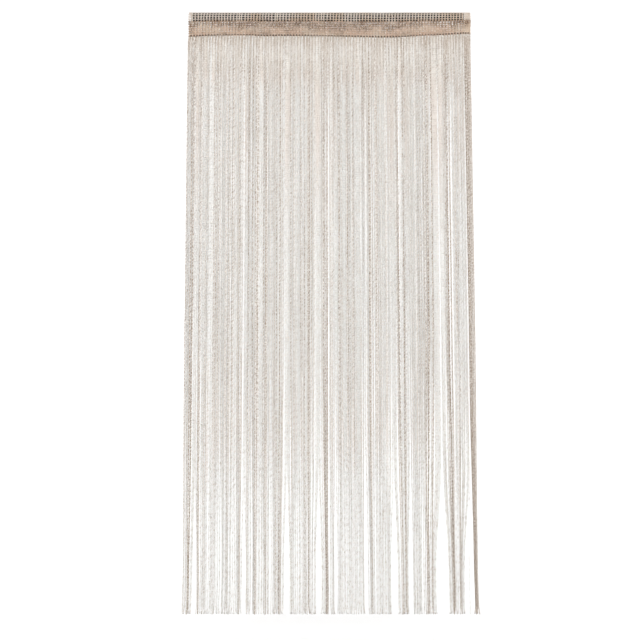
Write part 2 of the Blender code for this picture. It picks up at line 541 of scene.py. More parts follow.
@dataclass(frozen=True)
class TinselFinish:
    """A yarn of two plies, a pale one wound with metal strip and a browner one.

    The shades of the pale ply go from grey over rose to the palest, and the
    attribute tone picks one. The attribute brown, which carries the dark yarn
    and painted shade, deepens the other ply and dulls the first. matt_share is
    how much of the matt thread shows between two turns of the strip, and
    palest_matt the share of that in the palest shade. Where the strip's noise
    passes glint_from, and more often where the yarn is brown, a turn is made
    fully metal and given the glint colour: partly the strip's real shine and
    partly a painted highlight in its base colour. Over the length tight from
    its start a yarn lies so tight that its plies are hard to tell apart. The
    shifts set the noise of one yarn apart from the next, and the glints from
    the strip.
    """

    name: str
    shades: tuple
    pale_thread: Colour
    dark_thread: Colour
    glint: Colour
    matt_share: float = 0.4
    palest_matt: float = 0.2
    matt_band: tuple = (0.42, 0.60)
    glint_from: float = 0.70
    glint_band: float = 0.06
    twist: float = 0.021
    slip: float = 2.5
    ply_edge: float = 0.35
    turn: float = 0.0065
    tight: float = 0.0
    tight_contrast: float = 0.2
    tight_from: float = 0.3
    brown_dulls: float = 0.85
    brown_glints: float = 0.09
    palest_from: float = 0.80
    rough: tuple = (0.34, 0.72)
    metal: tuple = (0.30, 0.05)
    yarn_shift: float = 7.31
    strip_shift: float = 3.0
    glint_shift: float = 7.0
    ply_height: float = 0.0003

    def plies(
        self, n: Nodes, around: object, along: object, own: object
    ) -> bpy.types.NodeSocket:
        """Which ply shows, from -1 to 1.

        It is the sine of the way round plus the length over the twist, moved
        by a slow noise.

        Args:
            n: The material's nodes.
            around: The yarn's number and the share of the way round it.
            along: Length along the yarn.
            own: Where the yarn's own noise is read.

        Returns:
            The socket of the sine.
        """
        slow = n.noise(n.vector(n.math("DIVIDE", along, 2.0 * self.twist), own), 1.0)
        moved = n.math("MULTIPLY", slow, self.slip)
        winds = n.math("ADD", n.math("DIVIDE", along, self.twist), moved)
        return n.math("SINE", n.math("MULTIPLY", n.math("ADD", winds, around), 2.0 * math.pi))

    def clearness(self, n: Nodes, along: object) -> object:
        """How clearly the plies part: little over the tight length, then fully.

        Args:
            n: The material's nodes.
            along: Length along the yarn.

        Returns:
            A factor on the contrast, as a number or a socket.
        """
        if not self.tight:
            return 1.0
        start = self.tight_from * self.tight
        return n.spread(along, start, self.tight, (self.tight_contrast, 1.0))

    def build(self) -> bpy.types.Material:
        """Make the material: the two plies, the matt thread and the glints.

        The matt thread and the glints come from a noise along each yarn, which
        is read elsewhere for every yarn and each of the two.

        Returns:
            The material.
        """
        n = Nodes(self.name)
        place = n.add("ShaderNodeSeparateXYZ")
        n.join(n.add("ShaderNodeUVMap", uv_map="Yarn").outputs[0], place.inputs[0])
        around, along = place.outputs[0], place.outputs[1]
        tone = n.add("ShaderNodeAttribute", attribute_name="tone").outputs["Fac"]
        brown = n.add("ShaderNodeAttribute", attribute_name="brown").outputs["Fac"]
        own = n.math("MULTIPLY", n.math("FLOOR", around), self.yarn_shift)

        lead = self.plies(n, around, along, own)
        clear = self.clearness(n, along)
        other = n.spread(lead, -self.ply_edge, self.ply_edge)
        other = n.math("ADD", n.math("MULTIPLY", n.math("SUBTRACT", other, 0.5), clear), 0.5)

        stops = tuple((i / (len(self.shades) - 1), c) for i, c in enumerate(self.shades))
        winding = n.vector(n.math("DIVIDE", along, self.turn), own, self.strip_shift)
        strip = n.noise(winding, 1.0)
        matt = n.spread(strip, *self.matt_band)
        shares = (self.matt_share, self.palest_matt * self.matt_share)
        least = n.math("MULTIPLY", matt, n.spread(tone, self.palest_from, 1.0, shares))
        dull = n.math("MAXIMUM", least, n.math("MULTIPLY", brown, self.brown_dulls))
        pale = n.blend(dull, n.ramp(tone, stops), (*self.pale_thread, 1.0))
        deep = n.blend(brown, pale, (*self.dark_thread, 1.0))
        colour = n.blend(other, pale, deep)

        # Painted highlight, partly real shine: where this noise is high, a turn of the strip is
        # fully metal and takes the near-white glint colour as its base colour.
        fleck = n.vector(n.math("DIVIDE", along, 0.5 * self.turn), own, self.glint_shift)
        oftener = n.math("MULTIPLY", brown, self.brown_glints)
        bright = n.math("ADD", n.noise(fleck, 1.0, 0.0), oftener)
        glint = n.spread(bright, self.glint_from, self.glint_from + self.glint_band)
        glint = n.math("MULTIPLY", glint, clear)
        colour = n.blend(glint, colour, (*self.glint, 1.0))
        n.join(colour, n.shader.inputs["Base Color"])
        n.join(n.spread(matt, 0.0, 1.0, self.rough), n.shader.inputs["Roughness"])
        shiny = n.math("MAXIMUM", n.spread(matt, 0.0, 1.0, self.metal), glint)
        n.join(shiny, n.shader.inputs["Metallic"])
        n.bump(n.math("MULTIPLY", lead, lead), 0.5, self.ply_height)
        return n.material


@dataclass(frozen=True)
class StitchFinish:
    """Dark sewing thread, matt, with its ply showing."""

    colour: Colour
    worn: Colour
    wear_scale: float = 160.0
    ply_scale: float = 900.0
    ply_height: float = 0.0002
    rough: float = 0.8

    def build(self) -> bpy.types.Material:
        """Make the material: two browns in a coarse noise, raised by a fine one.

        Returns:
            The material.
        """
        n = Nodes("seam_thread")
        place = n.add("ShaderNodeTexCoord").outputs["Object"]
        wear = n.noise(place, self.wear_scale)
        colour = n.blend(wear, (*self.colour, 1.0), (*self.worn, 1.0))
        n.join(colour, n.shader.inputs["Base Color"])
        n.shader.inputs["Roughness"].default_value = self.rough
        n.bump(n.noise(place, self.ply_scale), 0.4, self.ply_height)
        return n.material


@dataclass(frozen=True)
class RodFinish:
    """Dark paint on the rod, in fine streaks and a little rubbed off at the ends."""

    paint: Colour
    rubbed: Colour
    rod_middle: float
    rod_half: float
    rub_length: float = 0.010
    squeeze: float = 3.0
    streak_scale: float = 260.0
    streak_band: tuple = (0.3, 0.7)
    streak_height: float = 0.0002
    rub_scale: float = 420.0
    rub_band: tuple = (0.50, 0.62)
    lighter: float = 1.5
    rough: tuple = (0.45, 0.62)
    gloss: float = 0.3

    def build(self) -> bpy.types.Material:
        """Make the material.

        A noise that is squeezed along the rod gives the streaks. The paint is
        rubbed off in patches where the distance from the rod's middle comes
        near to half its length.

        Returns:
            The material.
        """
        n = Nodes("rod_paint")
        place = n.add("ShaderNodeTexCoord").outputs["Object"]
        parts = n.add("ShaderNodeSeparateXYZ")
        n.join(place, parts.inputs[0])
        x, y, z = parts.outputs
        squeezed = n.vector(n.math("MULTIPLY", x, self.squeeze), y, z)
        streak = n.noise(squeezed, self.streak_scale, 4.0)
        off_middle = n.math("ABSOLUTE", n.math("SUBTRACT", x, self.rod_middle))
        end = n.spread(off_middle, self.rod_half - self.rub_length, self.rod_half)
        patch = n.spread(n.noise(place, self.rub_scale, 3.0), *self.rub_band)
        rub = n.math("MULTIPLY", end, patch)
        light = tuple(self.lighter * c for c in self.paint)
        base = n.blend(streak, (*self.paint, 1.0), (*light, 1.0))
        n.join(n.blend(rub, base, (*self.rubbed, 1.0)), n.shader.inputs["Base Color"])
        n.join(n.spread(streak, *self.streak_band, self.rough), n.shader.inputs["Roughness"])
        n.shader.inputs["Specular IOR Level"].default_value = self.gloss
        n.bump(streak, 0.15, self.streak_height)
        return n.material


@dataclass(frozen=True)
class HeadingShape:
    """The fold of the heading over the rod, read from the solids.

    The section is a teardrop: an arc over the rod from start_angle on either
    side, measured from straight down, and a straight side down to the seam.
    """

    left: float
    right: float
    radius: float
    seam_x: Array
    seam_z: Array
    start_angle: float = math.radians(75)
    foot: float = 0.0009
    edge_below: float = 0.0020
    ripple: float = 0.0012
    ripple_length: float = 0.145

    @staticmethod
    def from_frame(net_half: float) -> "HeadingShape":
        """Read the width, the lower edge and the rod's size from the solids.

        Args:
            net_half: Half the net's thickness, from the rod out.

        Returns:
            The shape.
        """
        low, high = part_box("heading")
        rod_low, rod_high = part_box("rod")
        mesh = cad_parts["heading"].data
        points = np.empty(3 * len(mesh.vertices))
        mesh.vertices.foreach_get("co", points)
        points = points.reshape(-1, 3)
        stations, owner = np.unique(points[:, 0].round(4), return_inverse=True)
        lowest = np.full(len(stations), np.inf)
        np.minimum.at(lowest, owner, points[:, 2])
        return HeadingShape(
            left=low[0],
            right=high[0],
            radius=(rod_high[2] - rod_low[2]) / 2.0 + net_half,
            seam_x=stations,
            seam_z=lowest,
        )

    def seam(self, x: Array) -> Array:
        """Height of the seam at x, between the stations of the solid."""
        return np.interp(x, self.seam_x, self.seam_z)

    def edge(self, x: Array) -> Array:
        """Height of the cloth's cut edge at x, just below the seam."""
        return self.seam(x) - self.edge_below

    def reach(self, x: Array) -> Array:
        """Length of the cloth from the top of the fold down to its edge at x.

        It is half the arc, its angle times the radius, and the straight side
        from the arc's end to the edge.

        Args:
            x: Places along the width.

        Returns:
            A length for each place.
        """
        sine, cosine = math.sin(self.start_angle), math.cos(self.start_angle)
        side = np.hypot(self.radius * sine - self.foot, self.edge(x) + self.radius * cosine)
        return (math.pi - self.start_angle) * self.radius + side

    def place(self, x: Array, share: Array, lift: Array) -> Array:
        """Point on the cloth.

        Args:
            x: Place along the width.
            share: Place along the fold, from -1 at the edge in front over 0
                at the top to 1 at the edge behind.
            lift: Distance outwards from the middle of the cloth.

        Returns:
            The points, in an array with a last axis of 3.
        """
        arc = (math.pi - self.start_angle) * self.radius
        length = np.abs(share) * self.reach(x)
        side = np.where(share < 0.0, -1.0, 1.0)
        angle = np.minimum(length, arc) / self.radius
        arc_y, arc_z = self.radius * np.sin(angle), self.radius * np.cos(angle)
        down = np.clip((length - arc) / (self.reach(x) - arc), 0.0, 1.0)
        end_y = self.radius * math.sin(self.start_angle)
        end_z = -self.radius * math.cos(self.start_angle)
        y = np.where(down > 0.0, end_y + (self.foot - end_y) * down, arc_y)
        z = np.where(down > 0.0, end_z + (self.edge(x) - end_z) * down, arc_z)
        tilt = np.minimum(angle, math.pi - self.start_angle)
        swell = self.ripple * np.sin(2.0 * math.pi * x / self.ripple_length)
        swell = swell * np.sin(math.pi * np.minimum(down, 1.0))
        return np.stack(
            [
                x + 0.0 * y,
                side * (y + lift * np.sin(tilt)) - swell,
                z + lift * np.cos(tilt),
            ],
            axis=-1,
        )


@dataclass(frozen=True)
class StringPlan:
    """Where the strings hang, and the columns of the net that they come from."""

    shape: HeadingShape
    hem: float
    count: int = 294
    ply: int = 3
    border: int = 12
    border_pitch: float = 0.58

    def shares(self) -> Array:
        """Place of each string along the width, from 0 at the left to 1.

        It is the middle of the string's cell, and the border's cells are
        narrower than the others.

        Returns:
            A share of the width for each string.
        """
        widths = np.ones(self.count)
        widths[-self.border:] = self.border_pitch
        edges = np.concatenate([[0.0], np.cumsum(widths)]) / widths.sum()
        return (edges[1:] + edges[:-1]) / 2.0

    def columns(self) -> Array:
        """x of each column of the net, the mean of its three strings'."""
        x = self.shape.left + self.shares() * (self.shape.right - self.shape.left)
        return x.reshape(-1, self.ply).mean(axis=1)


@dataclass
class NetShades:
    """The shades of the heading's net, and how full its yarns are.

    Over the rod the yarn's tone is painted grey and pale, as light falls on
    it from above. It is brownest in a belt just below the rod, which is
    painted shade under the rod, and at the left end. It is mottled in large
    and small patches that add up. In the closed part its brown is partly the
    yarn's own and partly painted shade in the pocket, which fades down to the
    seam. The selvedge at the right end is plainer. mottling and warmth are
    each a value over the rod and what is added in the closed part below it.
    """

    left: float
    right: float
    large_cell: tuple = (0.042, 0.30)
    small_cell: tuple = (0.0075, 0.085)
    hue_cell: tuple = (0.045, 0.25)
    patch_shares: tuple = (0.9, 0.6)
    mottling: tuple = (0.10, 0.62)
    closed_brown_and_shade: float = 0.34
    fade: float = 1.2
    fade_span: tuple = (0.62, 0.28)
    belt_shade: float = 0.72
    belt_place: float = 0.52
    belt_reach: float = 0.12
    own_brown: float = 0.08
    left_brown: float = 0.80
    left_edge: float = 0.020
    warmth: tuple = (0.05, 0.50)
    own_tone: float = 0.15
    hue_tone: float = 0.35
    selvedge: float = 0.026
    selvedge_band: float = 0.006
    selvedge_plain: float = 0.6
    filled: float = 0.38
    uneven: float = 0.12
    seed: int = 12
    large: Patches = field(init=False)
    small: Patches = field(init=False)
    hue: Patches = field(init=False)

    def __post_init__(self) -> None:
        """Scatter the patches in which the net changes its shade."""
        rng = np.random.default_rng(self.seed)
        low, high = (self.left, -1.0), (self.right, 1.0)
        self.large = Patches.scatter(rng, low, high, self.large_cell)
        self.small = Patches.scatter(rng, low, high, self.small_cell)
        self.hue = Patches.scatter(rng, low, high, self.hue_cell)

    def work_out(
        self, rng: np.random.Generator, x: Array, share: Array, zone: Array
    ) -> "tuple[Array, Array, Array]":
        """Work out the tone, the brown and the girth of yarns at these places.

        Args:
            rng: The source of the random numbers.
            x: Places along the width, as yarns by steps.
            share: Places along the fold.
            zone: 0 over the rod and 1 in the closed part below it.

        Returns:
            The three arrays of yarns by steps.
        """
        large, small = self.patch_shares
        mottle = large * self.large.at(x, share) + small * self.small.at(x, share)
        own = rng.uniform(-1.0, 1.0, (len(x), 1))
        # Painted shade: a belt of brown just below the rod, where the rod shades the cloth.
        shade_belt = bell(np.abs(share) - self.belt_place, self.belt_reach)
        # The closed part's brown is partly the yarn's own and partly painted shade in the pocket,
        # fading down to the seam.
        fading = 1.0 - self.fade * rise(np.abs(share), self.fade_span)
        brown = self.closed_brown_and_shade * zone * fading + self.belt_shade * shade_belt
        over_rod, added = self.mottling
        brown = brown + (over_rod + added * zone) * mottle + self.own_brown * own
        brown = brown + self.left_brown * zone * ease(1.0 - (x - self.left) / self.left_edge)
        # Painted light: over the rod the tone is low, grey and pale, where light falls from above,
        # and below the rod it is warmer.
        over_rod, added = self.warmth
        tone = over_rod + added * zone + self.own_tone * rng.uniform(-1.0, 1.0, (len(x), 1))
        tone = tone + self.hue_tone * self.hue.at(x, share)
        plain = ease((x - self.right + self.selvedge) / self.selvedge_band)
        tone = tone * (1.0 - self.selvedge_plain * plain)
        girth = 1.0 + self.filled * zone + self.uneven * rng.uniform(-1.0, 1.0, x.shape)
        return np.clip(tone, 0.0, 1.0), np.clip(brown, 0.0, 1.0), girth


@dataclass(frozen=True)
class HeadingNet:
    """The knitted net, folded over the rod.

    Columns of three yarns run up the front, over the rod and down the back,
    pinched at every row. A row is two yarns that cross between the columns
    and pass in front of one column and behind the next. Over the rod the net
    is open, and below it the columns spread and thicken until it is closed.
    """

    plan: StringPlan
    finish: TinselFinish
    shades: NetShades
    rows: int = 23
    steps_per_row: int = 2
    yarn: Yarn = Yarn(half_width=0.00080, half_depth=0.00055, lay=0.031)
    row_yarn: Yarn = Yarn(half_width=0.00082, half_depth=0.00055, lay=0.023)
    column_gap: float = 0.00122
    closed_spread: float = 0.50
    bulge: float = 0.00018
    stray: float = 0.0007
    stray_lift: float = 0.0002
    stray_knots: int = 9
    row_gap: float = 0.00060
    row_wander: float = 0.0006
    wander_knots: int = 40
    row_inset: float = 0.0004
    weave: float = 0.00045
    between_weave: float = 0.2
    yarn_lag: float = 2.1
    slant: float = 0.0048
    slant_wave: float = 0.0004
    waves: tuple = ((0.21, 1.0, 0.0), (0.083, 0.6, 1.3))
    slips_from: float = 0.35
    right_hold: float = 0.016
    first_row: float = 0.25
    zone_span: tuple = (0.36, 0.12)
    gathers: tuple = (-0.299, -0.173, -0.045, -0.024)
    gather_pull: float = 0.30
    gather_reach: float = 0.013
    further_out: float = 0.001
    seed: int = 11

    def drift(self, x: Array, share: Array) -> Array:
        """How far the net lies over sideways.

        The back of the band has slipped half a column against the front, by
        more in some places than in others, as the sum of the waves: each has
        a length, a size and a start. Only the right end holds.

        Args:
            x: Places along the width.
            share: Places along the fold.

        Returns:
            The distance to the right at each place.
        """
        wave = sum(size * np.sin(2.0 * math.pi * x / length + start)
                   for length, size, start in self.waves)
        behind = rise(share, (-self.slips_from, 2.0 * self.slips_from))
        behind = behind * ease((self.plan.shape.right - x) / self.right_hold)
        return (self.slant + self.slant_wave * wave) * behind

    def gathered(self, x: Array) -> Array:
        """Places along the width once the net is drawn together at the gathers.

        Each gather takes off the distance to it times the pull, which dies
        away as a bell curve of that distance over the reach.

        Args:
            x: Places along the width.

        Returns:
            The new places.
        """
        pulled = np.array(x, float)
        for place in self.gathers:
            away = x - place
            pulled = pulled - away * self.gather_pull * bell(away, self.gather_reach)
        return pulled

    def zone(self, share: Array) -> Array:
        """0 over the rod and 1 in the closed part below it, on both sides."""
        return rise(np.abs(share), self.zone_span)

    def column_yarns(self, rng: np.random.Generator) -> YarnBatch:
        """Make the columns.

        A yarn's place beside its column's middle is its number, -1, 0 or 1,
        times the gap, wider between two rows than at a row by one less the
        cosine of the way along, and wider in the closed part below the rod.
        It weaves in and out by a cosine too, each yarn a little later than
        the one before it.

        Args:
            rng: The source of the random numbers.

        Returns:
            The batch of the columns' yarns.
        """
        columns, ply = self.plan.columns(), self.plan.ply
        steps = self.rows * self.steps_per_row + 1
        share = np.linspace(-1.0, 1.0, steps)
        number = np.tile(np.arange(ply) - 1.0, len(columns))[:, None]
        way = 2.0 * math.pi * np.arange(steps) / self.steps_per_row
        open_up = (1.0 - np.cos(way)) / 2.0
        middle = np.repeat(columns, ply)[:, None]
        strays = slow_noise(rng, len(columns), steps, self.stray_knots).repeat(ply, axis=0)
        gap = self.column_gap * (1.0 + self.closed_spread * self.zone(share))
        x = self.gathered(middle) + number * (gap + self.bulge * open_up)
        x = x + self.stray * strays + self.drift(middle, share)
        lift = self.weave * np.cos(way + self.yarn_lag * number) + self.stray_lift * strays
        return self.swept(rng, self.yarn, x, np.broadcast_to(share, x.shape), lift)

    def row_yarns(self, rng: np.random.Generator) -> YarnBatch:
        """Make the rows.

        A row is two yarns. One passes outside a column, a gap to one side of
        the row's line, and inside the next column, as far to the other side.
        Its twin does the opposite. Between two columns they lie nearly in the
        middle of the cloth. The whole row wanders by a slow noise.

        Args:
            rng: The source of the random numbers.

        Returns:
            The batch of the rows' yarns.
        """
        shape, columns = self.plan.shape, self.plan.columns()
        between = (columns[1:] + columns[:-1]) / 2.0
        ends = [shape.left + self.row_inset, shape.right - self.row_inset]
        x = np.sort(np.concatenate([ends, columns, between]))
        row = (np.arange(self.rows) + self.first_row) / self.rows * 2.0 - 1.0
        row = np.repeat(row, 2)[:, None]
        twin = np.tile([-1.0, 1.0], self.rows)[:, None]
        order = np.arange(len(x))[None, :]
        swap = np.where(order % 4 < 2, 1.0, -1.0) * twin
        reach = shape.reach(x)[None, :]
        wander = slow_noise(rng, self.rows, len(x), self.wander_knots).repeat(2, axis=0)
        share = row + (swap * self.row_gap + self.row_wander * wander) / reach
        at_column = np.where(order % 2 == 1, 1.0, self.between_weave)
        lift = self.weave * at_column * swap
        place = self.gathered(x)[None, :] + self.drift(x[None, :], share)
        half_inset = self.row_inset / 2.0
        place = np.clip(place, shape.left + half_inset, shape.right - half_inset)
        return self.swept(rng, self.row_yarn, place, share, lift)

    def swept(
        self, rng: np.random.Generator, yarn: Yarn, x: Array, share: Array, lift: Array
    ) -> YarnBatch:
        """Make yarns along these lines on the fold, with their looks.

        The way out of the cloth is the way to the same places further out.

        Args:
            rng: The source of the random numbers.
            yarn: The yarns' section.
            x: Places along the width, as yarns by steps.
            share: Places along the fold.
            lift: Distances outwards from the middle of the cloth.

        Returns:
            The batch.
        """
        shape = self.plan.shape
        paths = shape.place(x, share, lift)
        outward = shape.place(x, share, lift + self.further_out) - paths
        tone, brown, girth = self.shades.work_out(rng, x, share, self.zone(share))
        phase = rng.uniform(0.0, 2.0 * math.pi, len(x))
        return yarn.sweep(paths, outward, tone, brown, girth, phase)

    def build(self) -> bpy.types.Object:
        """Knit the net, in the place of the heading's solid.

        Returns:
            The piece.
        """
        rng = np.random.default_rng(self.seed)
        batch = YarnBatch.join([self.column_yarns(rng), self.row_yarns(rng)])
        piece = batch.piece("heading_net", self.finish.build())
        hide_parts("heading")
        return piece


@dataclass
class SeamStitches:
    """The dark thread that closes the pocket, one stitch from column to column."""

    plan: StringPlan
    side: Side
    material: bpy.types.Material
    yarn: Yarn = Yarn(half_width=0.00230, half_depth=0.00090, lay=1.0)
    above_seam: float = 0.0004
    sway: float = 0.0004
    sway_turn: float = 2.1
    stand_out: float = 0.0026
    dip: float = 0.0058
    steps_per_stitch: int = 8

    def build(self) -> bpy.types.Object:
        """Run the thread along the seam.

        It stands out between two columns and dips into the cloth at each, as
        the cosine of the way from column to column. The thread behind lies
        half a stitch along, so that the two lock where they cross. It sways
        up and down by a sine that doesn't keep step with the columns.

        Returns:
            The piece.
        """
        shape, columns = self.plan.shape, self.plan.columns()
        steps = (len(columns) - 1) * self.steps_per_stitch + 1
        place = np.linspace(0.0, len(columns) - 1.0, steps)
        x = np.interp(place, np.arange(len(columns)), columns)
        stitch = place + 0.25 * (1.0 + self.side.value)
        sunk = (1.0 + np.cos(2.0 * math.pi * stitch)) / 2.0
        out = shape.foot + self.stand_out - self.dip * sunk
        z = shape.seam(x) + self.above_seam + self.sway * np.sin(self.sway_turn * place)
        paths = np.stack([x, self.side.value * out, z], axis=-1)[None]
        facing = np.array([0.0, self.side.value, 0.0])
        even = np.ones((1, steps))
        batch = self.yarn.sweep(paths, facing, even, even, even, np.zeros(1))
        piece = batch.piece(f"seam_{self.side.name.lower()}", self.material)
        return piece


LOCKS = (
    Lock(top=-0.455, mid=-0.463, hem=-0.471, grip=0.85, brown=0.95, early=0.4),
    Lock(top=-0.446, mid=-0.452, hem=-0.439, grip=0.75, brown=0.65),
    Lock(top=-0.409, mid=-0.419, hem=-0.419, grip=0.60, brown=0.30),
    Lock(top=-0.382, mid=-0.385, hem=-0.388, grip=0.45, brown=0.20),
    Lock(top=-0.348, mid=-0.342, hem=-0.344, grip=0.55, brown=0.30),
    Lock(top=-0.303, mid=-0.303, hem=-0.302, grip=0.65, brown=0.40, early=0.5),
    Lock(top=-0.274, mid=-0.273, hem=-0.275, grip=0.75, brown=0.30),
    Lock(top=-0.246, mid=-0.243, hem=-0.249, grip=0.60, brown=0.50),
    Lock(top=-0.213, mid=-0.219, hem=-0.213, grip=0.70, brown=0.30),
    Lock(top=-0.185, mid=-0.181, hem=-0.180, grip=0.65, brown=0.40),
    Lock(top=-0.158, mid=-0.163, hem=-0.170, grip=0.75, brown=0.95, early=0.5),
    Lock(top=-0.120, mid=-0.126, hem=-0.126, grip=0.70, brown=0.20),
    Lock(top=-0.081, mid=-0.081, hem=-0.080, grip=0.60, brown=0.50),
    Lock(top=-0.066, mid=-0.068, hem=-0.070, grip=0.70, brown=0.40),
    Lock(top=-0.025, mid=-0.020, hem=-0.007, grip=0.85, brown=0.90, early=0.4),
    Lock(top=0.003, mid=0.000, hem=0.015, grip=0.60, brown=0.30),
    Lock(top=0.041, mid=0.045, hem=0.038, grip=0.55, brown=0.10),
    Lock(top=0.070, mid=0.073, hem=0.080, grip=0.25, brown=0.10),
    Lock(top=0.096, mid=0.095, hem=0.116, grip=0.70, brown=0.30),
    Lock(top=0.128, mid=0.131, hem=0.144, grip=0.65, brown=0.30, early=0.5),
    Lock(top=0.160, mid=0.165, hem=0.172, grip=0.20, brown=0.10),
    Lock(top=0.190, mid=0.193, hem=0.199, grip=0.75, brown=0.20),
    Lock(top=0.219, mid=0.232, hem=0.249, grip=0.85, brown=0.95, early=0.8),
    Lock(top=0.246, mid=0.250, hem=0.256, grip=0.85, brown=0.90),
    Lock(top=0.275, mid=0.286, hem=0.285, grip=0.60, brown=0.10),
    Lock(top=0.290, mid=0.300, hem=0.299, grip=0.60, brown=0.10),
    Lock(top=0.330, mid=0.321, hem=0.332, grip=0.80, brown=0.95),
    Lock(top=0.344, mid=0.345, hem=0.346, grip=0.75, brown=0.90, early=0.6),
    Lock(top=0.379, mid=0.392, hem=0.417, grip=0.90, brown=0.95, early=0.4),
    Lock(top=0.421, mid=0.435, hem=0.440, grip=0.85, brown=0.75),
)

PARTINGS = (
    Parting(place=-0.452, width=0.015, top=0.72),
    Parting(place=-0.286, width=0.014, top=0.62),
    Parting(place=-0.143, width=0.019, top=0.50),
    Parting(place=-0.035, width=0.017, top=0.45),
    Parting(place=0.022, width=0.010, top=0.50),
    Parting(place=0.125, width=0.014, top=0.60),
    Parting(place=0.218, width=0.023, top=0.50),
    Parting(place=0.274, width=0.014, top=0.50),
    Parting(place=0.381, width=0.042, top=0.50),
    Parting(place=0.462, width=0.024, top=0.60, left_share=1.0),
)


@dataclass(frozen=True)
class Hang:
    """How the strings hang, which their shades and thickness are worked out from.

    paths are their points, as strings by steps by 3, and level the share of
    the steps so far. brown is each string's share of its lock's brown yarn,
    lonely how near it hangs to a parting at each step, loose which strings
    hang loose, and border which belong to the close border.
    """

    paths: Array
    level: Array
    brown: Array
    lonely: Array
    loose: Array
    border: Array
    partings_open: float = 0.3

    @property
    def in_gap(self) -> Array:
        """How near a string hangs to a parting, where the partings have opened."""
        return self.lonely * ease(self.level / self.partings_open)


@dataclass(frozen=True)
class StringTones:
    """Tone of the strings, and how far each has turned pale on the way down.

    Each string has a tone of its own, up to own, moved by patches of hue and
    held under highest. The strings are greyer at a parting, and at the root
    by an exponential of the level. The loose strings turn pale just below the
    root, later where they hang at a parting, and the others near the hem, but
    for the locks' cores and the border; that paling near the hem is painted
    light, as more light falls on the lower strings. A span is the level where
    a smooth step starts and how long it lasts.
    """

    own: float = 0.40
    border: float = 0.48
    hue: float = 0.10
    hue_cell: tuple = (0.016, 0.11)
    hue_half: float = 0.6
    hue_below: float = 0.1
    highest: float = 0.62
    gap_greys: float = 0.6
    root_greys: float = 0.45
    root_fade: float = 0.045
    hem_pale: float = 0.97
    hem_span: tuple = (0.50, 0.38)
    core_brown: float = 0.7
    loose_span: tuple = (0.02, 0.10)
    gap_holds: float = 0.5
    gap_span: tuple = (0.05, 0.35)
    loose_pale: tuple = (0.8, 0.2)
    palest_span: tuple = (0.55, 0.30)

    def work_out(
        self, rng: np.random.Generator, hang: Hang, hem: float
    ) -> "tuple[Array, Array]":
        """Work out the tones.

        Args:
            rng: The source of the random numbers.
            hang: How the strings hang.
            hem: Height of their lower ends.

        Returns:
            The tone and how far each string has turned pale, as strings by steps.
        """
        level, lonely = hang.level, hang.lonely
        low, high = (-self.hue_half, hem - self.hue_below), (self.hue_half, 0.0)
        patches = Patches.scatter(rng, low, high, self.hue_cell)
        hue = patches.at(hang.paths[..., 0], hang.paths[..., 2])
        own = rng.uniform(0.0, self.own, len(hang.paths))[:, None]
        own = np.where(hang.border, self.border, own)
        tone = np.clip(own + self.hue * hue, 0.0, self.highest)
        tone = tone * (1.0 - self.gap_greys * lonely)
        greys = 1.0 - self.root_greys * np.exp(-level / self.root_fade)
        tone = tone * np.where(hang.border, 1.0, greys)
        # Painted light: the strings turn paler towards the hem, where more light falls on them,
        # but for the locks' cores and the border.
        fades = self.hem_pale * rise(level, self.hem_span)
        fades = fades * (1.0 - ease(hang.brown / self.core_brown))[:, None]
        fades = np.where(hang.border, 0.0, fades)
        held_back = self.gap_holds * lonely * (1.0 - rise(level, self.gap_span))
        whitens = rise(level, self.loose_span) * (1.0 - held_back)
        first, more = self.loose_pale
        palest = first + more * rise(level, self.palest_span)
        return tone + (palest - tone) * np.where(hang.loose, whitens, fades), fades


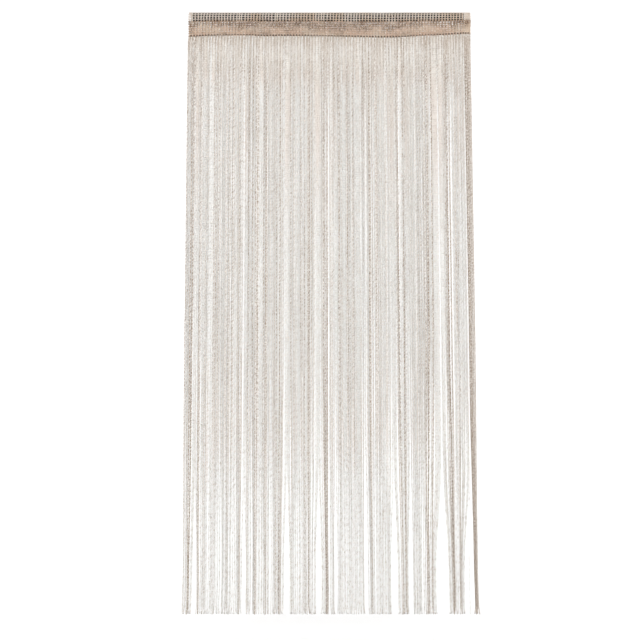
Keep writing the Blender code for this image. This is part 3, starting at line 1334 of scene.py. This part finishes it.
@dataclass(frozen=True)
class StringShades:
    """Share of dark yarn in the strings.

    It is the lock's brown, which rises on the way down, plus exponentials of
    the level for the root of every string and, longer, for the middle one of
    each three, where with a small constant it is painted shade in the narrow
    gaps between the threes. Plus the cube of each string's own chance, plus
    slow noise. Near a parting it is lowered, which is painted light: the
    strings hang singly there and more light reaches them. Where the strings
    have turned pale near the hem, which is painted light, only specks are
    left of it. The strings numbered in edge, at the left, have a high chance
    given to them. rising, single_starts and quick are each the least and what
    is added to it.
    """

    border: float = 0.33
    lock: float = 1.22
    rising: tuple = (0.48, 0.52)
    rising_span: tuple = (0.10, 0.60)
    gap_clears: float = 0.8
    root: float = 0.54
    root_fade: float = 0.030
    single: float = 0.78
    single_starts: tuple = (0.15, 0.85)
    single_reach: float = 0.09
    edge: tuple = (0, 1, 5, 6)
    edge_chance: float = 0.85
    third_shade: float = 0.05
    comb_shade: float = 0.54
    comb_fade: float = 0.045
    slow: float = 0.08
    slow_knots: int = 24
    quick: tuple = (0.14, 0.2)
    quick_knots: int = 110
    hem_clears: float = 0.9
    speck: float = 0.40
    speck_from: float = -1.2

    def work_out(self, rng: np.random.Generator, hang: Hang, fades: Array, ply: int) -> Array:
        """Work out the shares.

        Args:
            rng: The source of the random numbers.
            hang: How the strings hang.
            fades: How far each string has turned pale.
            ply: Number of strings that leave one column of the net.

        Returns:
            An array of strings by steps, between 0 and 1.
        """
        level, lonely = hang.level, hang.in_gap
        count, steps = fades.shape
        base = np.where(hang.border, self.border, self.lock * hang.brown[:, None])
        start, more = self.rising
        rising = np.where(hang.border, 1.0, start + more * rise(level, self.rising_span))
        # Painted light: strings near a parting get less dark share, as they hang singly there and
        # more light reaches them.
        shade = base * rising * (1.0 - self.gap_clears * lonely)
        chance = rng.uniform(0.0, 1.0, count)[:, None]
        chance[list(self.edge)] = self.edge_chance
        shade = shade + self.root * np.exp(-level / self.root_fade)
        start, more = self.single_starts
        plain = (1.0 - hang.loose) * (1.0 - lonely)
        plain = plain * (start + more * ease(level / self.single_reach))
        shade = shade + self.single * chance**3 * plain
        # Painted shade in the narrow gaps between each three strings, laid on the middle one:
        # strong at the root and slight all the way down.
        comb_shade = self.third_shade + self.comb_shade * np.exp(-level / self.comb_fade)
        shade = shade + (np.arange(count) % ply == 1)[:, None] * comb_shade
        shade = shade + self.slow * slow_noise(rng, count, steps, self.slow_knots)
        least, more = self.quick
        shade = shade + (least + more * base) * slow_noise(rng, count, steps, self.quick_knots)
        # Where the strings turn pale near the hem, which is painted light, their dark share clears
        # to specks.
        speck = np.clip(rng.uniform(self.speck_from, 1.0, shade.shape), 0.0, 1.0)
        shade = shade * (1.0 - self.hem_clears * fades) + self.speck * speck * fades
        return np.clip(shade, 0.0, 1.0)


@dataclass(frozen=True)
class StringGirths:
    """Factor on the strings' section, from a table of levels.

    Loose strings are thicker, those at a parting thinner, and the border's
    stay the same all the way.
    """

    levels: tuple = (0.0, 0.02, 0.05, 0.10, 0.20, 0.50, 0.70, 0.85, 0.975, 1.0)
    girths: tuple = (1.56, 1.50, 1.44, 1.38, 1.38, 1.40, 1.34, 1.14, 1.02, 1.12)
    loose: float = 1.55
    gap_thins: float = 0.22
    uneven: float = 0.07

    def work_out(self, rng: np.random.Generator, hang: Hang) -> Array:
        """Work out the factors.

        Args:
            rng: The source of the random numbers.
            hang: How the strings hang.

        Returns:
            An array of strings by steps.
        """
        girth = np.interp(hang.level, self.levels, self.girths)
        girth = girth * np.where(hang.loose, self.loose, 1.0 - self.gap_thins * hang.in_gap)
        girth = np.where(hang.border, 1.0, girth)
        return girth + self.uneven * rng.uniform(-1.0, 1.0, girth.shape)


@dataclass(frozen=True)
class StringFall:
    """The lines in which the strings fall from the seam to the hem.

    They leave the net in threes, spread to an even curtain, and gather again
    on the way down: in twos to fours at first, and in the locks further down.
    One string in three hangs loose behind the others and fills the narrow
    gaps, and so does one that hangs about halfway between two locks.

    Levels are shares of the length. A span is the level where a smooth step
    starts and how long it lasts, and a value that ends in by is the level
    where a step from the root is complete. loosened, loose_hold, near_hold
    and core_brown are each the least and what is added to it.
    """

    plan: StringPlan
    locks: tuple
    partings: tuple
    steps: int = 250
    level_power: float = 1.06
    outline_levels: tuple = (0.0, 0.3, 0.5, 0.7, 0.93, 1.0)
    outline_left: tuple = (-0.4708, -0.4775, -0.4820, -0.4860, -0.4890, -0.4930)
    outline_right: tuple = (0.4690, 0.4790, 0.4855, 0.4905, 0.4975, 0.5020)
    border_inset: float = 0.0010
    border_draws: float = 0.0060
    border_tightens: float = 0.42
    border_span: tuple = (0.58, 0.37)
    loosened: tuple = (0.3, 0.7)
    loosened_by: float = 0.4
    wander: float = 0.0005
    wander_knots: int = 11
    kink: float = 0.0002
    kink_knots: int = 52
    loose_every: int = 3
    gap_loose: float = 0.55
    gap_near: float = 0.5
    gap_margin: float = 0.003
    yields_span: tuple = (0.72, 0.20)
    undecided: float = 0.0036
    largest_group: int = 4
    upper_pull: float = 0.03
    upper_by: float = 0.22
    upper_eases: float = 0.6
    upper_span: tuple = (0.45, 0.3)
    lower_pull: float = 0.05
    lower_span: tuple = (0.30, 0.5)
    lock_reach: float = 0.016
    core: float = 0.0056
    loose_hold: tuple = (0.12, 0.25)
    joins_span: tuple = (0.68, 0.22)
    edge_frees: float = 0.7
    edge_strings: float = 3.0
    near_hold: tuple = (0.45, 0.55)
    loose_brown: float = 0.05
    core_brown: tuple = (0.25, 0.75)
    root_gap: float = 0.0027
    root_above: float = 0.0012
    fan: float = 0.012
    layers: int = 5
    layer: float = 0.0011
    behind: float = 0.0042
    layer_by: float = 0.08
    wind: float = 0.0004
    wind_by: float = 0.1
    wind_flat: float = 0.8
    wind_starts: float = 6.28
    wind_turns: float = 7.0
    crinkle: float = 0.00018
    flare: float = 0.0035
    flare_start: float = 0.982
    uneven: float = 0.0016

    @property
    def free(self) -> Array:
        """Which strings can move: all but the border's, as a column."""
        return np.arange(self.plan.count)[:, None] < self.plan.count - self.plan.border

    def slackness(self, level: Array) -> Array:
        """How far the strings have come loose on the way down, from the root's share."""
        start, more = self.loosened
        return start + more * ease(level / self.loosened_by)

    def even_curtain(self, rng: np.random.Generator, level: Array, outline: Outline) -> Array:
        """Places of the strings before anything moves them aside.

        The strings share the outline's width evenly and stray from it by two
        slow noises, one longer than the other. The border's keep their
        distances from the right edge, which shrink as it closes up.

        Args:
            rng: The source of the random numbers.
            level: Share of the length at each step.
            outline: The curtain's two edges.

        Returns:
            x of every string at every step.
        """
        plan, shape = self.plan, self.plan.shape
        shares = plan.shares()[:, None]
        x = outline.left + shares * (outline.right - outline.left)
        from_edge = (shares[-1] - shares) * (shape.right - shape.left)
        tight = 1.0 - self.border_tightens * rise(level, self.border_span)
        inset = self.border_inset + self.border_draws * (1.0 - tight)
        x = np.where(self.free, x, outline.right - inset - from_edge * tight)
        slack = self.slackness(level)
        stray = self.wander * slack * slow_noise(rng, plan.count, self.steps, self.wander_knots)
        kinks = slow_noise(rng, plan.count, self.steps, self.kink_knots)
        return x + np.where(self.free, stray + self.kink * slack * kinks, 0.0)

    def near_gaps(self, x: Array, outline: Outline) -> Array:
        """How near each string hangs to the line of a parting, from 0 to 1.

        It is the largest bell curve, over all partings, of the distance from
        the parting's line over its half width and a margin.

        Args:
            x: Places, as strings by steps.
            outline: The curtain's two edges.

        Returns:
            A share for each place, 0 in the border.
        """
        nearest = np.zeros_like(x)
        for gap in self.partings:
            away = x - gap.line(outline)
            nearest = np.maximum(nearest, bell(away, 0.5 * gap.width + self.gap_margin))
        return nearest * self.free

    def pushed(self, x: Array, level: Array, outline: Outline, loose: Array) -> Array:
        """Strings moved aside by the partings, the loose ones only near the hem.

        Each parting pushes a string to the side where the string's lower end
        hangs, by that side's share of the width times the exponential of minus
        the distance over the reach, which is twice that share of the width.

        Args:
            x: Places, as strings by steps.
            level: Share of the length at each step.
            outline: The curtain's two edges.
            loose: Which strings hang on in the gaps.

        Returns:
            The new places.
        """
        moved = x.copy()
        yields = self.free * np.where(loose, rise(level, self.yields_span), 1.0)
        for gap in self.partings:
            middle = gap.line(outline) + gap.width * (gap.left_share - 0.5)
            width = gap.width * ease((level - gap.top) / (1.0 - gap.top))
            away = x - middle
            hangs = np.where(away[:, -1:] < 0.0, -1.0, 1.0)
            for side, part in ((-1.0, gap.left_share), (1.0, 1.0 - gap.left_share)):
                if part > 0.0:
                    push = width * part * np.exp(-np.abs(away) / (2.0 * gap.width * part))
                    moved = moved + np.where(hangs == side, side * push, 0.0) * yields
        return moved

    def small_groups(self, rng: np.random.Generator, x: Array, pull: Array) -> Array:
        """Draw neighbours together in groups of up to four.

        Args:
            rng: The source of the random numbers.
            x: Places, as strings by steps.
            pull: Share of the way to the group's mean, at each step.

        Returns:
            The new places, the same as before in the border.
        """
        sizes = rng.integers(1, self.largest_group + 1, len(x))
        starts = np.cumsum(np.concatenate([[0], sizes]))
        starts = starts[starts < len(x)]
        counts = np.diff(np.append(starts, len(x)))
        means = np.add.reduceat(x, starts, axis=0) / counts[:, None]
        drawn = x + (np.repeat(means, counts, axis=0) - x) * pull
        return np.where(self.free, drawn, x)

    def to_locks(self, x: Array, level: Array, loose: Array) -> "tuple[Array, Array]":
        """Draw the strings to their locks.

        A string belongs to the lock that is nearest at the hem. It goes the
        lock's grip, times how far the lock has closed, of the way to the
        lock's line, less if it hangs far from it, loose or at the left edge.

        Args:
            x: Places, as strings by steps.
            level: Share of the length at each step.
            loose: Which strings hardly join a lock.

        Returns:
            The new places, and each string's share of brown yarn.
        """
        hems, grips, browns = np.array([(k.hem, k.grip, k.brown) for k in self.locks]).T
        lines = np.array([lock.line(level) for lock in self.locks])
        closings = np.array([lock.closing(level) for lock in self.locks])
        own = np.abs(x[:, -1:] - hems).argmin(axis=1)
        away = x[:, -1:] - hems[own][:, None]
        least, more = self.loose_hold
        joins = np.where(loose, least + more * rise(level, self.joins_span), 1.0)
        edge = 1.0 - self.edge_frees * bell(np.arange(len(x)), self.edge_strings)[:, None]
        least, more = self.near_hold
        hold = grips[own][:, None] * joins * (least + more * bell(away, self.lock_reach))
        hold = hold * closings[own] * self.free * edge
        least, more = self.core_brown
        share = np.where(loose[:, 0], self.loose_brown, least + more * bell(away, self.core)[:, 0])
        return x + (lines[own] - x) * hold, browns[own] * share * self.free[:, 0]

    def drawn(
        self, rng: np.random.Generator, x: Array, level: Array, outline: Outline
    ) -> "tuple[Array, Array, Array, Array]":
        """Pick the loose strings, open the partings and gather the groups and locks.

        A string hangs loose if it is the one that is picked of its three, if
        it hangs at a parting and chance has it, or if the two locks nearest to
        its lower end are about as far away.

        Args:
            rng: The source of the random numbers.
            x: Places, as strings by steps.
            level: Share of the length at each step.
            outline: The curtain's two edges.

        Returns:
            The new places, each string's share of brown yarn, how near it
            hangs to a parting, and which strings hang loose.
        """
        count = len(x)
        index = np.arange(count)[:, None]
        picks = rng.integers(0, self.loose_every, count)[index // self.loose_every]
        lonely = self.near_gaps(x, outline)
        by_chance = rng.uniform(size=(count, 1)) < self.gap_loose
        beside = (lonely[:, -1:] > self.gap_near) & by_chance
        loose = ((index % self.loose_every == picks) | beside) & self.free
        x = self.pushed(x, level, outline, loose)
        upper = self.upper_pull * ease(level / self.upper_by)
        upper = upper * (1.0 - self.upper_eases * rise(level, self.upper_span))
        x = self.small_groups(rng, x, upper)
        x = self.small_groups(rng, x, self.lower_pull * rise(level, self.lower_span))
        two = np.sort(np.abs(x[:, -1:] - [lock.hem for lock in self.locks]), axis=1)
        loose = loose | (two[:, 1:2] - two[:, :1] < self.undecided) & self.free
        x, brown = self.to_locks(x, level, loose)
        return x, brown, lonely, loose

    def hang(self, rng: np.random.Generator) -> Hang:
        """Work out every string's line.

        A string leaves its root in the net as a smooth step of the level, lies
        in its layer, winds slowly as a cosine and a sine, is crinkled all the
        way, and flares as a square towards its tip.

        Args:
            rng: The source of the random numbers.

        Returns:
            How the strings hang.
        """
        plan, count = self.plan, self.plan.count
        level = np.linspace(0.0, 1.0, self.steps) ** self.level_power
        outline = Outline(
            left=np.interp(level, self.outline_levels, self.outline_left),
            right=np.interp(level, self.outline_levels, self.outline_right),
        )
        x = self.even_curtain(rng, level, outline)
        x, brown, lonely, loose = self.drawn(rng, x, level, outline)

        index = np.arange(count)[:, None]
        columns = np.repeat(plan.columns(), plan.ply)[:, None]
        root = columns + (index % plan.ply - 1.0) * self.root_gap
        x = root + (x - root) * ease(level / self.fan)
        start = rng.uniform(0.0, self.wind_starts, (count, 1))
        angle = start + rng.uniform(-self.wind_turns, self.wind_turns, (count, 1)) * level
        layer = np.where(loose, self.behind, (index % self.layers - self.layers // 2) * self.layer)
        wind = self.wind * ease(level / self.wind_by) * self.slackness(level)
        x = x + wind * np.cos(angle) * self.wind_flat
        y = layer * ease(level / self.layer_by) + wind * np.sin(angle)
        x = x + self.crinkle * rng.uniform(-1.0, 1.0, x.shape)
        y = y + self.crinkle * rng.uniform(-1.0, 1.0, x.shape)
        tip = np.clip((level - self.flare_start) / (1.0 - self.flare_start), 0.0, 1.0) ** 2
        x = x + self.flare * rng.uniform(-1.0, 1.0, (count, 1)) * tip
        y = y + self.flare * rng.uniform(-1.0, 1.0, (count, 1)) * tip
        top = plan.shape.seam(root) + self.root_above
        end = plan.hem + self.uneven * rng.uniform(-1.0, 1.0, (count, 1))
        return Hang(
            paths=np.stack([x, y, top + (end - top) * level], axis=-1),
            level=np.linspace(0.0, 1.0, self.steps),
            brown=brown,
            lonely=lonely,
            loose=loose,
            border=~self.free,
        )


@dataclass
class HangingStrings:
    """The strings below the seam: their lines, their colours and their thickness."""

    fall: StringFall
    finish: TinselFinish
    tones: StringTones = StringTones()
    shades: StringShades = StringShades()
    girths: StringGirths = StringGirths()
    yarn: Yarn = Yarn(half_width=0.00128, half_depth=0.00102, lay=0.043)
    panels: tuple = ("left", "middle", "right")
    seed: int = 23

    def build(self) -> "list[bpy.types.Object]":
        """Hang the strings, in the place of their solid, as three panels side by side.

        Returns:
            The pieces, from left to right.
        """
        rng = np.random.default_rng(self.seed)
        plan = self.fall.plan
        hang = self.fall.hang(rng)
        tone, fades = self.tones.work_out(rng, hang, plan.hem)
        shade = self.shades.work_out(rng, hang, fades, plan.ply)
        phase = rng.uniform(0.0, 2.0 * math.pi, plan.count)
        girth = self.girths.work_out(rng, hang)
        material = self.finish.build()
        facing = np.array([0.0, 1.0, 0.0])
        parts = np.array_split(np.arange(plan.count), len(self.panels))
        pieces = []
        for name, part in zip(self.panels, parts):
            batch = self.yarn.sweep(
                hang.paths[part], facing, tone[part], shade[part], girth[part], phase[part]
            )
            piece = batch.piece(f"strings_{name}", material)
            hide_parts("strings")
            pieces.append(piece)
        return pieces


@dataclass
class Rod:
    """The rod keeps its solid and gets its paint."""

    finish: RodFinish

    def dress(self) -> None:
        """Paint the solid."""
        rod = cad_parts["rod"]
        rod.data.materials.clear()
        rod.data.materials.append(self.finish.build())
        LOG.info("rod: painted")


@dataclass(frozen=True)
class Lamp:
    """A far, wide lamp whose soft light falls evenly along one direction."""

    name: str
    place: tuple
    target: tuple
    spread: float
    strength: float

    def build(self) -> None:
        """Make the lamp and turn it to its target."""
        data = bpy.data.lights.new(self.name, "SUN")
        data.angle = math.radians(self.spread)
        data.energy = self.strength
        lamp = bpy.data.objects.new(self.name, data)
        lamp.location = self.place
        lamp.rotation_euler = aim(self.place, self.target)
        bpy.context.scene.collection.objects.link(lamp)


def aim(place: tuple, target: tuple) -> tuple:
    """Turn that makes a camera or a lamp look at a target.

    The tilt is the arc tangent of the level distance over the drop, and the
    turn that of the way across over the way ahead.

    Args:
        place: Where it stands.
        target: What it looks at.

    Returns:
        The three angles, in radians.
    """
    away = np.asarray(target, float) - np.asarray(place, float)
    flat = math.hypot(away[0], away[1])
    return (math.atan2(flat, -away[2]), 0.0, math.atan2(-away[0], away[1]))


@dataclass
class Studio:
    """The camera, the floor, the pale surroundings and the lamps."""

    picture_side: int = 640
    metres_per_pixel: float = 0.003325
    rod_axis_pixel: tuple = (329.3, 17.3)
    lens: float = 85.0
    sensor: float = 36.0
    far: float = 60.0
    floor_drop: float = 0.060
    floor_half: float = 9.0
    floor_greys: tuple = (0.955, 0.965)
    floor_cloud: float = 0.8
    floor_rough: float = 0.9
    room_light: float = 1.12
    lamps: tuple = (
        Lamp("key", (-1.7, -2.6, -0.3), (0.0, 0.0, -1.0), 24.0, 0.60),
        Lamp("fill", (2.2, -3.4, -0.6), (0.0, 0.0, -1.0), 30.0, 0.40),
    )

    def camera(self) -> None:
        """Set the camera level, square to the curtain, at the photo's framing."""
        data = bpy.data.cameras.new("camera")
        data.lens = self.lens
        data.sensor_width = self.sensor
        data.clip_end = self.far
        side = self.picture_side * self.metres_per_pixel
        distance = side * self.lens / self.sensor
        across = (self.picture_side / 2.0 - self.rod_axis_pixel[0]) * self.metres_per_pixel
        up = (self.rod_axis_pixel[1] - self.picture_side / 2.0) * self.metres_per_pixel
        camera = bpy.data.objects.new("camera", data)
        camera.location = (across, -distance, up)
        camera.rotation_euler = (math.pi / 2.0, 0.0, 0.0)
        bpy.context.scene.collection.objects.link(camera)
        bpy.context.scene.camera = camera

    def floor(self, hem: float) -> None:
        """Lay a large pale floor a little below the strings.

        Args:
            hem: Height of the strings' lower ends.
        """
        half, z = self.floor_half, hem - self.floor_drop
        mesh = bpy.data.meshes.new("floor")
        corners = [(-half, -half, z), (half, -half, z), (half, half, z), (-half, half, z)]
        mesh.from_pydata(corners, [], [(0, 1, 2, 3)])
        n = Nodes("floor")
        place = n.add("ShaderNodeTexCoord").outputs["Object"]
        darker, paler = ((grey, grey, grey, 1.0) for grey in self.floor_greys)
        clouds = n.noise(place, self.floor_cloud)
        n.join(n.blend(clouds, darker, paler), n.shader.inputs["Base Color"])
        n.shader.inputs["Roughness"].default_value = self.floor_rough
        mesh.materials.append(n.material)
        floor = bpy.data.objects.new("floor", mesh)
        bpy.context.scene.collection.objects.link(floor)

    def surroundings(self) -> None:
        """Fill the room with an even white light."""
        world = bpy.data.worlds.new("studio")
        world.use_nodes = True
        background = world.node_tree.nodes["Background"]
        background.inputs["Color"].default_value = (1.0, 1.0, 1.0, 1.0)
        background.inputs["Strength"].default_value = self.room_light
        bpy.context.scene.world = world
        bpy.context.scene.view_settings.view_transform = "Standard"

    def build(self, hem: float) -> None:
        """Set up the whole studio.

        Args:
            hem: Height of the strings' lower ends.
        """
        self.camera()
        self.floor(hem)
        self.surroundings()
        for lamp in self.lamps:
            lamp.build()
        LOG.info("studio: camera, floor and %d lamps", len(self.lamps))


def main() -> None:
    """Build the studio and every piece in order."""
    logging.basicConfig(level=logging.INFO, format="%(name)s %(message)s")
    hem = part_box("strings")[0][2]
    Studio().build(hem)

    plan = StringPlan(shape=HeadingShape.from_frame(NET_HALF), hem=hem)
    rod_low, rod_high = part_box("rod")
    Rod(
        RodFinish(
            paint=(0.020, 0.015, 0.012),
            rubbed=(0.12, 0.10, 0.085),
            rod_middle=(rod_low[0] + rod_high[0]) / 2.0,
            rod_half=(rod_high[0] - rod_low[0]) / 2.0,
        )
    ).dress()

    net_yarn = TinselFinish(
        name="net_yarn",
        shades=((0.85, 0.78, 0.71), (0.80, 0.65, 0.51), (0.80, 0.59, 0.45), (0.87, 0.66, 0.52)),
        pale_thread=(0.54, 0.39, 0.27),
        dark_thread=(0.22, 0.13, 0.075),
        # glint: base colour of the painted highlights on the strip's turns.
        glint=(0.98, 0.84, 0.72),
        glint_from=0.74,
    )
    string_yarn = TinselFinish(
        name="string_yarn",
        shades=(
            (0.91, 0.905, 0.885),
            (0.91, 0.88, 0.835),
            (0.88, 0.835, 0.78),
            (0.89, 0.83, 0.78),
            (0.94, 0.932, 0.91),
            (0.965, 0.957, 0.935),
        ),
        pale_thread=(0.68, 0.615, 0.54),
        dark_thread=(0.33, 0.21, 0.13),
        # glint: base colour of the painted highlights on the strip's turns.
        glint=(0.93, 0.87, 0.81),
        matt_share=0.20,
        twist=0.009,
        tight=0.13,
    )
    shape = plan.shape
    net = HeadingNet(plan, net_yarn, NetShades(shape.left, shape.right)).build()
    thread = StitchFinish(colour=(0.055, 0.035, 0.024), worn=(0.10, 0.065, 0.045)).build()
    seams = [SeamStitches(plan, side, thread).build() for side in Side]
    fall = StringFall(plan, LOCKS, PARTINGS)
    strings = HangingStrings(fall, string_yarn).build()

    flat_length = 2.0 * float(shape.reach(shape.seam_x).mean())


if __name__ == "__main__":
    main()
